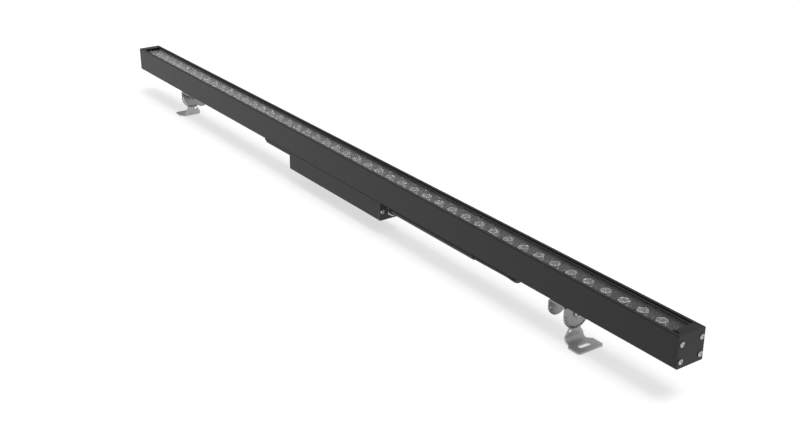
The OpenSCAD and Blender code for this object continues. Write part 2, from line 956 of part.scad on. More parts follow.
// Cable glands: the output on the right, and an empty inlet on the left for the supply cable
module gland_body(turn) {
    difference() {
        union() {
            rotate([turn, 0, 0])
                hex_along_x(gland_flats, gland_hex_length);
            translate([-gland_thread_length, 0, 0])
                rotate([0, 90, 0])
                    cylinder(r = gland_thread_r, h = gland_thread_length + gland_hex_length / 2);
        }
        translate([-gland_thread_length - cut_over, 0, 0])
            rotate([0, 90, 0])
                cylinder(r = gland_bore_r, h = gland_thread_length + gland_hex_length + 2 * cut_over);
    }
}

module gland_cap(cable_r) {
    rounding = gland_cap_length / 2;
    translate([gland_hex_length, 0, 0])
        rotate([0, 90, 0])
            rotate_extrude()
                difference() {
                    union() {
                        square([gland_cap_r, gland_cap_length - rounding]);
                        square([gland_cap_r - rounding, gland_cap_length]);
                        translate([gland_cap_r - rounding, gland_cap_length - rounding])
                            circle(rounding);
                    }
                    translate([0, -cut_over])
                        square([cable_r + screw_clearance, gland_cap_length + 2 * cut_over]);
                    translate([-cut_over - gland_cap_r, -cut_over])
                        square([gland_cap_r + cut_over, gland_cap_length + 2 * cut_over]);
                }
}

module gland_seal(cable_r) {
    seal_length = gland_hex_length + gland_thread_length / 2;
    translate([gland_hex_length - seal_length, 0, 0])
        tube_along_x(gland_bore_r - thread_clearance, cable_r, seal_length);
}

module at_output() {
    translate([box_right, 0, box_middle_z])
        children();
}

module at_inlet() {
    translate([box_left, 0, inlet_z])
        rotate([0, 0, 180])
            children();
}

module output_gland_body() {
    color(steel)
        at_output()
            gland_body(0);
}

module output_gland_cap() {
    color(black)
        at_output()
            gland_cap(lead_r);
}

module output_gland_seal() {
    color(black)
        at_output()
            gland_seal(lead_r + thread_clearance);
}

module inlet_gland_body() {
    color(steel)
        at_inlet()
            gland_body(30);
}

module inlet_gland_cap() {
    color(black)
        at_inlet()
            gland_cap(inlet_cable_r);
}

module inlet_gland_seal() {
    color(black)
        at_inlet()
            gland_seal(inlet_cable_r);
}

module lock_nut() {
    translate([-box_end_thick - lock_nut_thick, 0, 0])
        difference() {
            rotate([30, 0, 0])
                hex_along_x(lock_nut_flats, lock_nut_thick);
            translate([-cut_over, 0, 0])
                rotate([0, 90, 0])
                    cylinder(r = gland_thread_r + thread_clearance, h = lock_nut_thick + 2 * cut_over);
        }
}

module gland_lock_nuts() {
    color(steel) {
        at_output()
            lock_nut();
        at_inlet()
            lock_nut();
    }
}

// Output lead, swept along its route
function unit(v) = v / norm(v);

function route_tangent(points, i) =
    unit(points[min(i + 1, len(points) - 1)] - points[max(i - 1, 0)]);

function ring_points(points, i, r, sides) =
    let (
        t = route_tangent(points, i),
        across = unit(cross([0, 1, 0], t)),
        side = cross(t, across)
    )
    [
        for (k = [0 : sides - 1])
            let (turn = 360 * k / sides)
            points[i] + r * (cos(turn) * across + sin(turn) * side)
    ];

module swept_tube(points, r, sides) {
    rings = len(points);
    vertices = [for (i = [0 : rings - 1]) each ring_points(points, i, r, sides)];
    wall_faces = [
        for (i = [0 : rings - 2], k = [0 : sides - 1])
            let (
                a = i * sides + k,
                b = i * sides + (k + 1) % sides,
                c = a + sides,
                d = b + sides
            )
            each [[a, c, b], [b, c, d]]
    ];
    start_faces = [for (k = [1 : sides - 2]) [0, k, k + 1]];
    end_first = (rings - 1) * sides;
    end_faces = [for (k = [1 : sides - 2]) [end_first, end_first + k + 1, end_first + k]];
    polyhedron(points = vertices, faces = concat(wall_faces, start_faces, end_faces));
}

module output_lead() {
    color([0.16, 0.16, 0.17])
        translate([0, 0, bar_z])
            swept_tube(lead_route, lead_r, lead_sides);
}

module lead_sleeve() {
    sleeve_start = lead_exit_x + sleeve_start_gap;
    sleeve_end = lead_grommet_x - sleeve_end_gap;
    color([0.22, 0.22, 0.23])
        translate([sleeve_start, lead_run[0], bar_z + lead_run[1]])
            tube_along_x(sleeve_r, lead_r + screw_clearance / 2, sleeve_end - sleeve_start);
}

module lead_grommet() {
    bore_r = lead_r + thread_clearance;
    color(black)
        translate([lead_grommet_x, lead_grommet_y, bar_z])
            difference() {
                union() {
                    cylinder(r = lead_grommet_r, h = bar_wall + lead_grommet_flange);
                    translate([0, 0, bar_wall])
                        cylinder(r = lead_grommet_r + 2 * thread_clearance, h = lead_grommet_flange);
                    translate([0, 0, -lead_grommet_flange])
                        cylinder(r = lead_grommet_flange_r, h = lead_grommet_flange);
                }
                translate([0, 0, -lead_grommet_flange - cut_over])
                    cylinder(r = bore_r, h = bar_wall + 2 * (lead_grommet_flange + cut_over));
            }
}

// Places a bracket or a foot, drawn along u, at the right or left end
module at_right() {
    translate([bracket_right_x, 0, 0])
        children();
}

module at_left() {
    translate([-bracket_left_x, 0, 0])
        rotate([0, 0, 180])
            children();
}

// Bracket: one sheet folded down at both ends, with a protractor ear and a smaller lug
module bracket_fold() {
    bend_inner_r = bend_r - sheet;
    bottom_z = pivot_height - bracket_half;
    difference() {
        union() {
            translate([lug_outer_u + bend_r, bottom_z])
                square([bracket_length - 2 * bend_r, bar_z - bottom_z]);
            translate([lug_outer_u, bottom_z])
                square([bracket_length, bar_z - bend_r - bottom_z]);
            for (u = [lug_outer_u + bend_r, -bend_r])
                translate([u, bar_z - bend_r])
                    circle(bend_r);
        }
        translate([lug_inner_u + bend_inner_r, bottom_z - cut_over])
            square([bracket_length - 2 * bend_r, bar_z - sheet - bottom_z + cut_over]);
        translate([lug_inner_u, bottom_z - cut_over])
            square([bracket_length - 2 * sheet, bar_z - bend_r - bottom_z + cut_over]);
        for (u = [lug_outer_u + bend_r, -bend_r])
            translate([u, bar_z - bend_r])
                circle(bend_inner_r);
    }
}

module ear_outline() {
    translate([-bracket_half, pivot_height])
        square([2 * bracket_half, bar_z - pivot_height]);
    translate([0, pivot_height])
        circle(bracket_half);
}

module lug_outline() {
    centre_y = lug_r - bracket_half;
    translate([-bracket_half, bar_z - lug_drop])
        square([2 * lug_r, lug_drop]);
    translate([centre_y, bar_z - lug_drop])
        circle(lug_r);
}

module bracket() {
    difference() {
        intersection() {
            translate([0, bracket_half, 0])
                rotate([90, 0, 0])
                    linear_extrude(2 * bracket_half)
                        bracket_fold();
            union() {
                along_x(-bend_r - cut_over, cut_over)
                    ear_outline();
                span(
                    [lug_outer_u + bend_r, -bracket_half, bar_z - bend_r],
                    [-bend_r, bracket_half, bar_z]
                );
                along_x(lug_outer_u - cut_over, lug_outer_u + bend_r + cut_over)
                    lug_outline();
            }
        }
        along_x(-sheet - cut_over, cut_over) {
            translate([0, pivot_height])
                circle(pivot_r + pivot_clearance);
            for (k = [0 : ring_holes - 1])
                translate([0, pivot_height])
                    rotate(ring_pitch * (k - (ring_holes - 1) / 2))
                        translate([0, -ring_r])
                            circle(ring_hole_r, $fn = 24);
        }
        along_x(lug_outer_u - cut_over, lug_inner_u + cut_over)
            translate([lug_hole_inset - bracket_half, pivot_height])
                circle(lug_hole_r);
        translate([bracket_screw_u, 0, bar_z - sheet - cut_over])
            cylinder(r = bracket_screw_r + screw_clearance, h = sheet + 2 * cut_over);
    }
}

module bracket_screw() {
    head_seat = bar_z - sheet;
    translate([bracket_screw_u, 0, head_seat])
        screw_upward(
            bracket_screw_r, pocket_top - slot_nut_top_gap - head_seat, bracket_head_r, bracket_head_h
        );
}

module bracket_slot_nut() {
    translate([bracket_screw_u, 0, 0])
        slot_nut(bracket_screw_r);
}

module bracket_left() {
    color(steel)
        at_left()
            bracket();
}

module bracket_right() {
    color(steel)
        at_right()
            bracket();
}

module bracket_screw_left() {
    color(steel)
        at_left()
            bracket_screw();
}

module bracket_screw_right() {
    color(steel)
        at_right()
            bracket_screw();
}

module slot_nut_left() {
    color(steel)
        at_left()
            bracket_slot_nut();
}

module slot_nut_right() {
    color(steel)
        at_right()
            bracket_slot_nut();
}

// Foot: one sheet folded into a tongue that turns on the pivot and a slotted base, drawn from the
// tongue's inner face
module foot_fold() {
    bend_inner_r = foot_bend_r - sheet;
    top_z = pivot_height + tongue_r;
    difference() {
        union() {
            translate([foot_bend_r, 0])
                square([foot_reach - foot_bend_r, top_z]);
            translate([0, foot_bend_r])
                square([foot_reach, top_z - foot_bend_r]);
            translate([foot_bend_r, foot_bend_r])
                circle(foot_bend_r);
        }
        translate([foot_bend_r, sheet])
            square([foot_reach, top_z]);
        translate([sheet, foot_bend_r])
            square([foot_reach, top_z]);
        translate([foot_bend_r, foot_bend_r])
            circle(bend_inner_r);
    }
}

module tongue_outline() {
    neck_half = foot_neck / 2;
    flare_z = foot_bend_r + tongue_flare;
    translate([0, pivot_height])
        circle(tongue_r);
    polygon([
        [-neck_half, -cut_over], [-neck_half, foot_bend_r], [-tongue_r, flare_z],
        [-tongue_r, pivot_height], [tongue_r, pivot_height],
        [tongue_r, flare_z], [neck_half, foot_bend_r], [neck_half, -cut_over],
    ]);
}

module base_outline() {
    neck_half = foot_neck / 2;
    base_half = foot_width / 2;
    inner_u = foot_bend_r - sheet;
    wide_u = foot_bend_r + foot_shoulder;
    corner_u = foot_reach - foot_corner_r;
    polygon([
        [inner_u, -neck_half], [foot_bend_r, -neck_half], [wide_u, -base_half], [corner_u, -base_half],
        [corner_u, base_half], [wide_u, base_half], [foot_bend_r, neck_half], [inner_u, neck_half],
    ]);
    translate([corner_u - foot_corner_r, foot_corner_r - base_half])
        square([2 * foot_corner_r, foot_width - 2 * foot_corner_r]);
    for (y = [foot_corner_r - base_half, base_half - foot_corner_r])
        translate([corner_u, y])
            circle(foot_corner_r);
}

module foot_slot() {
    translate([foot_slot_place - foot_slot_width / 2, -slot_end_y])
        square([foot_slot_width, 2 * slot_end_y]);
    for (y = [-slot_end_y, slot_end_y])
        translate([foot_slot_place, y])
            circle(foot_slot_width / 2);
}

module foot() {
    difference() {
        intersection() {
            translate([0, foot_width / 2, 0])
                rotate([90, 0, 0])
                    linear_extrude(foot_width)
                        foot_fold();
            union() {
                along_x(-cut_over, foot_bend_r)
                    tongue_outline();
                translate([0, 0, -cut_over])
                    linear_extrude(sheet + 2 * cut_over)
                        base_outline();
            }
        }
        translate([0, 0, -cut_over])
            linear_extrude(sheet + 2 * cut_over)
                foot_slot();
        along_x(-cut_over, sheet + cut_over) {
            translate([0, pivot_height])
                circle(pivot_r + pivot_clearance);
            translate([-tongue_hole_y, pivot_height - tongue_hole_drop])
                circle(tongue_hole_r);
        }
    }
}

module pivot_bolt() {
    translate([head_seat_u, 0, pivot_height])
        screw(pivot_r, head_seat_u - bolt_tip_u, pivot_head_r, pivot_head_h);
}

module pivot_washer() {
    translate([washer_u, 0, pivot_height])
        tube_along_x(washer_r, pivot_r + screw_clearance, washer_thick);
}

module pivot_nut() {
    translate([nut_u, 0, pivot_height])
        difference() {
            hex_along_x(pivot_nut_flats, pivot_nut_thick);
            translate([-cut_over, 0, 0])
                rotate([0, 90, 0])
                    cylinder(r = pivot_r + thread_clearance, h = pivot_nut_thick + 2 * cut_over);
        }
}

module foot_left() {
    color(steel)
        at_left()
            translate([left_tongue_u, 0, 0])
                foot();
}

module foot_right() {
    color(steel)
        at_right()
            translate([right_tongue_u, 0, 0])
                foot();
}

module pivot_bolt_left() {
    color(steel)
        at_left()
            pivot_bolt();
}

module pivot_bolt_right() {
    color(steel)
        at_right()
            translate([right_bolt_u, 0, 0])
                pivot_bolt();
}

module pivot_washer_left() {
    color(steel)
        at_left()
            pivot_washer();
}

module pivot_washer_right() {
    color(steel)
        at_right()
            translate([right_bolt_u, 0, 0])
                pivot_washer();
}

module pivot_nut_left() {
    color(steel)
        at_left()
            pivot_nut();
}

module pivot_nut_right() {
    color(steel)
        at_right()
            translate([right_bolt_u, 0, 0])
                pivot_nut();
}

housing_profile();
end_plate_left();
end_plate_right();
end_gasket_left();
end_gasket_right();
end_screws_left();
end_screws_right();
front_glass();
glass_seal();
led_board(0);  // led_board_1
led_board(1);  // led_board_2
led_board(2);  // led_board_3
led_board(3);  // led_board_4
led_chips(0);  // led_chips_1
led_chips(1);  // led_chips_2
led_chips(2);  // led_chips_3
led_chips(3);  // led_chips_4
lens_strip(0);  // lens_strip_1
lens_strip(1);  // lens_strip_2
lens_strip(2);  // lens_strip_3
lens_strip(3);  // lens_strip_4
board_screws();
board_wiring();
wire_grommet();
driver_box();
driver_box_end_left();
driver_box_end_right();
driver_box_gasket_left();
driver_box_gasket_right();
driver_box_screws_left();
driver_box_screws_right();
box_fixing_screws();
box_slot_nuts();
driver_module();
output_gland_body();
output_gland_cap();
output_gland_seal();
inlet_gland_body();
inlet_gland_cap();
inlet_gland_seal();
gland_lock_nuts();
output_lead();
lead_sleeve();
lead_grommet();
bracket_left();
bracket_right();
bracket_screw_left();
bracket_screw_right();
slot_nut_left();
slot_nut_right();
foot_left();
foot_right();
pivot_bolt_left();
pivot_bolt_right();
pivot_washer_left();
pivot_washer_right();
pivot_nut_left();
pivot_nut_right();
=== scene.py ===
import math

import bmesh
import bpy
from mathutils import Matrix, Vector


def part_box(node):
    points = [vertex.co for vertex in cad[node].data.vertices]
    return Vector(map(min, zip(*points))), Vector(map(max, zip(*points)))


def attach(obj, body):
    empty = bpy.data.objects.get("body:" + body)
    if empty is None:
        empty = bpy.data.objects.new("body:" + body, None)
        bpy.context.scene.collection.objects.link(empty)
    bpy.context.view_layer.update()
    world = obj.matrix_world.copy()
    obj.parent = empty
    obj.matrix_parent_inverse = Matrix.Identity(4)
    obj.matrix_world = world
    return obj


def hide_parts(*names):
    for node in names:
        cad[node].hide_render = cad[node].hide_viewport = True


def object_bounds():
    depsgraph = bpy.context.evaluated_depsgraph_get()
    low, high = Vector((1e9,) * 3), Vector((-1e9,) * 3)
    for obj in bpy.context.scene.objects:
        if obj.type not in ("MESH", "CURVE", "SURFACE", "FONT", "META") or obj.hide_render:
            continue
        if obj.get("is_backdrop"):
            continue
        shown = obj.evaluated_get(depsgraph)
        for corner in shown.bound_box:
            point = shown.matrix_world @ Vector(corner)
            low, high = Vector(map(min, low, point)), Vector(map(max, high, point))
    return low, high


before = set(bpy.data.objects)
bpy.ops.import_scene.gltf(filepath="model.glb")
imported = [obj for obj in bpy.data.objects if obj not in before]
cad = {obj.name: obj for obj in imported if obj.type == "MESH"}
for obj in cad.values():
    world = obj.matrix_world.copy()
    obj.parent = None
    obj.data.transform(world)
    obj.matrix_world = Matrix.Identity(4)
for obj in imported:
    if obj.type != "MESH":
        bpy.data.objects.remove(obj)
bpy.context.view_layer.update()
mm = 0.001

# Studio
# A pale seamless floor below and white all round, as in a product photograph. One soft lamp stands
# far above the bar, a little to the right, and throws the narrow shadow under it.
view_azimuth = math.radians(54.966)
view_height = math.radians(23.652)
view_back = Vector((
    math.sin(view_azimuth) * math.cos(view_height),
    -math.cos(view_azimuth) * math.cos(view_height),
    math.sin(view_height),
))
camera_place = (1.2228, -0.7642, 0.6044)
camera_lens = 53.06
camera = bpy.data.objects.new("photo_camera", bpy.data.cameras.new("photo_camera"))
bpy.context.scene.collection.objects.link(camera)
camera.location = camera_place
camera.rotation_euler = view_back.to_track_quat("Z", "Y").to_euler()
camera.data.sensor_width = 36
camera.data.lens = camera_lens
camera.data.clip_start = 0.01
camera.data.clip_end = 50
bpy.context.scene.camera = camera
bpy.context.scene.view_settings.view_transform = "Standard"


def link_nodes(tree, links):
    """Joins each pair of sockets, an output and an input."""
    for start, end in links:
        tree.links.new(start, end)


def larger_of(tree, first, second):
    """The larger of two sockets."""
    larger = tree.nodes.new("ShaderNodeMath")
    larger.operation = "MAXIMUM"
    link_nodes(tree, [(first, larger.inputs[0]), (second, larger.inputs[1])])
    return larger.outputs[0]


floor_colour = (0.72, 0.72, 0.72, 1)
floor_lift = 0.56
floor_half = 14
floor_paper = bpy.data.materials.new("floor_paper")
floor_paper.use_nodes = True
tree = floor_paper.node_tree
paper = tree.nodes["Principled BSDF"]
paper.inputs["Base Color"].default_value = floor_colour
paper.inputs["Roughness"].default_value = 0.9
paper.inputs["Specular IOR Level"].default_value = 0.0
paper.inputs["Emission Color"].default_value = (1, 1, 1, 1)
path = tree.nodes.new("ShaderNodeLightPath")
lift = tree.nodes.new("ShaderNodeMath")
lift.operation = "MULTIPLY"
lift.inputs[1].default_value = floor_lift
in_view = larger_of(tree, path.outputs["Is Camera Ray"], path.outputs["Is Transmission Ray"])
link_nodes(tree, [
    (larger_of(tree, in_view, path.outputs["Is Glossy Ray"]), lift.inputs[0]),
    (lift.outputs[0], paper.inputs["Emission Strength"]),
])
floor_corners = [
    (-floor_half, -floor_half, 0), (floor_half, -floor_half, 0),
    (floor_half, floor_half, 0), (-floor_half, floor_half, 0),
]
floor_mesh = bpy.data.meshes.new("floor")
floor_mesh.from_pydata(floor_corners, [], [(0, 1, 2, 3)])
floor_mesh.materials.append(floor_paper)
floor = bpy.data.objects.new("floor", floor_mesh)
bpy.context.scene.collection.objects.link(floor)
floor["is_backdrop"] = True

sky_light = 0.42
reflected_wall = 0.6
sky = bpy.data.worlds.new("white_studio")
bpy.context.scene.world = sky
sky.use_nodes = True
tree = sky.node_tree
backdrop = tree.nodes["Background"]
backdrop.inputs["Color"].default_value = (1, 1, 1, 1)
path = tree.nodes.new("ShaderNodeLightPath")
in_gloss = tree.nodes.new("ShaderNodeMapRange")
in_gloss.inputs["To Min"].default_value = sky_light
in_gloss.inputs["To Max"].default_value = reflected_wall
level = tree.nodes.new("ShaderNodeMapRange")
level.inputs["To Max"].default_value = 1.0
by_mirror = larger_of(tree, path.outputs["Is Glossy Ray"], path.outputs["Is Transmission Ray"])
link_nodes(tree, [
    (by_mirror, in_gloss.inputs["Value"]),
    (in_gloss.outputs["Result"], level.inputs["To Min"]),
    (path.outputs["Is Camera Ray"], level.inputs["Value"]),
    (level.outputs["Result"], backdrop.inputs["Strength"]),
])

lamp_power = 1.15
lamp_spread = math.radians(28)
lamp_tilt = math.radians(22)
soft_lamp = bpy.data.objects.new("soft_lamp", bpy.data.lights.new("soft_lamp", "SUN"))
soft_lamp.data.energy = lamp_power
soft_lamp.data.angle = lamp_spread
soft_lamp.location = (0.6, 0, 2)
soft_lamp.rotation_euler = (0, lamp_tilt, 0)
bpy.context.scene.collection.objects.link(soft_lamp)

# Bar housing
# One length of extruded aluminium with two glass ledges, a web that carries the boards, screw
# ports and a T-slot, powder coated dark grey outside.
cloud_scale = 9.0
noise_low = 0.3
noise_high = 0.7
grain = bpy.data.node_groups.new("coat_grain", "ShaderNodeTree")
for label, kind, value in [
    ("Colour", "NodeSocketColor", (0.1, 0.1, 0.1, 1)),
    ("Colour Change", "NodeSocketFloat", 0.1),
    ("Grain Size", "NodeSocketFloat", 0.001),
    ("Grain Stretch", "NodeSocketVector", (1, 1, 1)),
    ("Grain Depth", "NodeSocketFloat", 0.00001),
    ("Roughness Low", "NodeSocketFloat", 0.4),
    ("Roughness High", "NodeSocketFloat", 0.6),
]:
    socket = grain.interface.new_socket(label, in_out="INPUT", socket_type=kind)
    socket.default_value = value
for label, kind in [
    ("Colour", "NodeSocketColor"), ("Roughness", "NodeSocketFloat"), ("Normal", "NodeSocketVector"),
]:
    grain.interface.new_socket(label, in_out="OUTPUT", socket_type=kind)
given = grain.nodes.new("NodeGroupInput")
made = grain.nodes.new("NodeGroupOutput")
place = grain.nodes.new("ShaderNodeTexCoord")
per_metre = grain.nodes.new("ShaderNodeMath")
per_metre.operation = "DIVIDE"
per_metre.inputs[0].default_value = 1.0
fine = grain.nodes.new("ShaderNodeTexNoise")
fine.inputs["Detail"].default_value = 2.0
stretch = grain.nodes.new("ShaderNodeVectorMath")
stretch.operation = "MULTIPLY"
wide = grain.nodes.new("ShaderNodeTexNoise")
wide.inputs["Scale"].default_value = cloud_scale
wide.inputs["Detail"].default_value = 3.0
darker = grain.nodes.new("ShaderNodeMath")
darker.operation = "SUBTRACT"
darker.inputs[0].default_value = 1.0
shade = grain.nodes.new("ShaderNodeMapRange")
shade.inputs["From Min"].default_value = noise_low
shade.inputs["From Max"].default_value = noise_high
shade.inputs["To Max"].default_value = 1.0
tint = grain.nodes.new("ShaderNodeVectorMath")
tint.operation = "SCALE"
rough = grain.nodes.new("ShaderNodeMapRange")
rough.inputs["From Min"].default_value = noise_low
rough.inputs["From Max"].default_value = noise_high
relief = grain.nodes.new("ShaderNodeBump")
link_nodes(grain, [
    (place.outputs["Object"], stretch.inputs[0]),
    (given.outputs["Grain Stretch"], stretch.inputs[1]),
    (stretch.outputs["Vector"], fine.inputs["Vector"]),
    (place.outputs["Object"], wide.inputs["Vector"]),
    (given.outputs["Grain Size"], per_metre.inputs[1]),
    (per_metre.outputs[0], fine.inputs["Scale"]),
    (given.outputs["Colour Change"], darker.inputs[1]),
    (darker.outputs[0], shade.inputs["To Min"]),
    (wide.outputs["Fac"], shade.inputs["Value"]),
    (given.outputs["Colour"], tint.inputs[0]),
    (shade.outputs["Result"], tint.inputs["Scale"]),
    (tint.outputs["Vector"], made.inputs["Colour"]),
    (given.outputs["Roughness Low"], rough.inputs["To Min"]),
    (given.outputs["Roughness High"], rough.inputs["To Max"]),
    (fine.outputs["Fac"], rough.inputs["Value"]),
    (rough.outputs["Result"], made.inputs["Roughness"]),
    (fine.outputs["Fac"], relief.inputs["Height"]),
    (given.outputs["Grain Depth"], relief.inputs["Distance"]),
    (relief.outputs["Normal"], made.inputs["Normal"]),
])


def finish_with_grain(
    name, colour, change, size, depth, roughness, metal=0.0, gloss=0.5, along=(1, 1, 1)
):
    """A finish with clouds in its colour and a grain in its roughness and relief.

    change is the share by which the clouds darken the colour, size and depth are those of the
    grain in metres, and along stretches the grain where it is below 1.
    """
    finish = bpy.data.materials.new(name)
    finish.use_nodes = True
    tree = finish.node_tree
    surface = tree.nodes["Principled BSDF"]
    surface.inputs["Metallic"].default_value = metal
    surface.inputs["Specular IOR Level"].default_value = gloss
    texture = tree.nodes.new("ShaderNodeGroup")
    texture.node_tree = grain
    texture.inputs["Colour"].default_value = (*colour, 1)
    texture.inputs["Colour Change"].default_value = change
    texture.inputs["Grain Size"].default_value = size
    texture.inputs["Grain Stretch"].default_value = along
    texture.inputs["Grain Depth"].default_value = depth
    texture.inputs["Roughness Low"].default_value = roughness[0]
    texture.inputs["Roughness High"].default_value = roughness[1]
    link_nodes(tree, [
        (texture.outputs["Colour"], surface.inputs["Base Color"]),
        (texture.outputs["Roughness"], surface.inputs["Roughness"]),
        (texture.outputs["Normal"], surface.inputs["Normal"]),
    ])
    return finish


def coat_nodes(finish, *names):
    """Gives the solids of these names a finish."""
    for name in names:
        slots = cad[name].data.materials
        if len(slots) == 0:
            slots.append(finish)
        for i in range(len(slots)):
            slots[i] = finish


dark_coat = finish_with_grain(
    "dark_powder_coat", (0.011, 0.011, 0.0115), 0.06, 0.9 * mm, 0.03 * mm, (0.36, 0.46), gloss=0.28
)
coat_nodes(dark_coat, "housing_profile", "end_plate_left", "end_plate_right")

# Bar ends
# Coated end plates, each with a frame that closes the lips over the glass, on a rubber gasket and
# held by four pan head hex socket screws of stainless steel.
black_rubber = finish_with_grain(
    "black_rubber", (0.012, 0.012, 0.012), 0.2, 0.5 * mm, 0.03 * mm, (0.55, 0.7), gloss=0.4
)
coat_nodes(black_rubber, "end_gasket_left", "end_gasket_right")
screw_steel = finish_with_grain(
    "turned_stainless_steel", (0.42, 0.42, 0.41), 0.06, 0.25 * mm, 0.001 * mm, (0.18, 0.26), metal=1.0
)
coat_nodes(screw_steel, "end_screws_left", "end_screws_right")

# Glass and seal
# A strip of toughened clear glass under the housing's lips. Its edge is held in a soft dark grey
# seal of rubber.
glass_colour = (0.95, 0.955, 0.955)
glass_bending = 1.25


def clear_finish(name, colour, bending, roughness, clearness, lamp_colour):
    """A clear material, whose rough or milky share scatters the light.

    Lamp rays pass it straight, in their own colour, so that what lies behind it is lit.
    """
    finish = bpy.data.materials.new(name)
    finish.use_nodes = True
    tree = finish.node_tree
    clear = tree.nodes["Principled BSDF"]
    clear.inputs["Base Color"].default_value = (*colour, 1)
    clear.inputs["Roughness"].default_value = roughness
    clear.inputs["IOR"].default_value = bending
    clear.inputs["Transmission Weight"].default_value = clearness
    through = tree.nodes.new("ShaderNodeBsdfTransparent")
    through.inputs["Color"].default_value = (*lamp_colour, 1)
    path = tree.nodes.new("ShaderNodeLightPath")
    pick = tree.nodes.new("ShaderNodeMixShader")
    out = tree.nodes["Material Output"]
    link_nodes(tree, [
        (path.outputs["Is Shadow Ray"], pick.inputs["Fac"]),
        (clear.outputs[0], pick.inputs[1]),
        (through.outputs[0], pick.inputs[2]),
        (pick.outputs[0], out.inputs["Surface"]),
    ])
    return finish


glass = clear_finish("toughened_glass", glass_colour, glass_bending, 0.0, 1.0, glass_colour)
coat_nodes(glass, "front_glass")
seal_rubber = finish_with_grain(
    "seal_rubber", (0.04, 0.04, 0.042), 0.1, 0.3 * mm, 0.01 * mm, (0.5, 0.65), gloss=0.4
)
coat_nodes(seal_rubber, "glass_seal")

# LED boards
# Four aluminium core boards with a black solder mask, twelve LEDs each under a yellow phosphor,
# held to the web by stainless screws.
board_count = 4
board_mask = finish_with_grain(
    "black_solder_mask", (0.02, 0.02, 0.021), 0.05, 0.4 * mm, 0.01 * mm, (0.35, 0.5)
)
coat_nodes(board_mask, *[f"led_board_{k + 1}" for k in range(board_count)])
phosphor = finish_with_grain(
    "yellow_phosphor", (0.62, 0.55, 0.30), 0.1, 0.2 * mm, 0.01 * mm, (0.45, 0.6)
)
coat_nodes(phosphor, *[f"led_chips_{k + 1}" for k in range(board_count)])
coat_nodes(screw_steel, "board_screws")

# Lens strips
# One strip of clear moulded acrylic per board: a plate with twelve collimating lenses, each a
# hollow-footed cone with a dimple in its face, on short legs that rest on the board.
lens_plate_top = 73.2 * mm
lens_plate_bottom = 72.0 * mm
lens_plate_half = 9.5 * mm
lens_radius = 6.2 * mm
lens_room = 1.02
lens_sides = 40
lens_pitch = 25 * mm
lens_first = -587.5 * mm
lenses_per_strip = 12
acrylic_colour = (0.9, 0.9, 0.9)
lens_colour = (0.75, 0.75, 0.75)
acrylic_plate = clear_finish("clear_acrylic_plate", acrylic_colour, 1.15, 0.05, 1.0, acrylic_colour)
acrylic_lens = clear_finish("clear_acrylic_lens", lens_colour, 1.49, 0.05, 0.92, acrylic_colour)


def turned_mesh(name, profile, sides):
    """A closed shape turned about Z from points of radius and height.

    The first and the last point are on the axis. Where they aren't, the shape has a bore.
    """
    shape = bmesh.new()
    bored = profile[0][0] > 0
    rings = []
    for radius, height in profile:
        if radius == 0:
            rings.append([shape.verts.new((0, 0, height))])
            continue
        rings.append([
            shape.verts.new((
                radius * math.cos(2 * math.pi * k / sides),
                radius * math.sin(2 * math.pi * k / sides),
                height,
            ))
            for k in range(sides)
        ])
    for lower, upper in zip(rings, rings[1:] + (rings[:1] if bored else [])):
        for k in range(sides):
            n = (k + 1) % sides
            if len(lower) == 1 and len(upper) == 1:
                continue
            if len(lower) == 1:
                shape.faces.new((lower[0], upper[k], upper[n]))
            elif len(upper) == 1:
                shape.faces.new((lower[k], upper[0], lower[n]))
            else:
                shape.faces.new((lower[k], upper[k], upper[n], lower[n]))
    bmesh.ops.recalc_face_normals(shape, faces=shape.faces)
    mesh = bpy.data.meshes.new(name)
    shape.to_mesh(mesh)
    shape.free()
    return mesh


lens_profile = [
    (0, 69.6), (1.2, 69.4), (2.1, 68.6), (2.3, 67.0), (3.4, 67.0), (4.7, 68.6), (5.7, 70.4),
    (6.2, 72.0), (6.2, 73.2), (5.6, 73.2), (5.1, 73.0), (4.0, 73.05), (2.6, 73.0), (1.6, 72.5), (0, 72.1),
]
lens_shape = bpy.data.objects.new(
    "lens_shape", turned_mesh("lens_shape", [(r * mm, z * mm) for r, z in lens_profile], lens_sides)
)


def growing_tree(name, inputs):
    """An empty Geometry Nodes tree with these named inputs, and its output."""
    tree = bpy.data.node_groups.new(name, "GeometryNodeTree")
    for label, kind in inputs:
        tree.interface.new_socket(label, in_out="INPUT", socket_type=kind)
    tree.interface.new_socket("Geometry", in_out="OUTPUT", socket_type="NodeSocketGeometry")
    return tree, tree.nodes.new("NodeGroupInput"), tree.nodes.new("NodeGroupOutput")


def give_out(tree, given, made, geometry):
    """The geometry, real and in the finish that is given, as the tree's output."""
    real = tree.nodes.new("GeometryNodeRealizeInstances")
    paint = tree.nodes.new("GeometryNodeSetMaterial")
    link_nodes(tree, [
        (geometry, real.inputs["Geometry"]),
        (real.outputs["Geometry"], paint.inputs["Geometry"]),
        (given.outputs["Material"], paint.inputs["Material"]),
        (paint.outputs["Geometry"], made.inputs["Geometry"]),
    ])


def give_out_copies(tree, given, made, points):
    """A copy of the piece that is given on each point, as the tree's output."""
    source = tree.nodes.new("GeometryNodeObjectInfo")
    copies = tree.nodes.new("GeometryNodeInstanceOnPoints")
    link_nodes(tree, [
        (given.outputs["Piece"], source.inputs["Object"]),
        (points, copies.inputs["Points"]),
        (source.outputs["Geometry"], copies.inputs["Instance"]),
    ])
    give_out(tree, given, made, copies.outputs["Instances"])


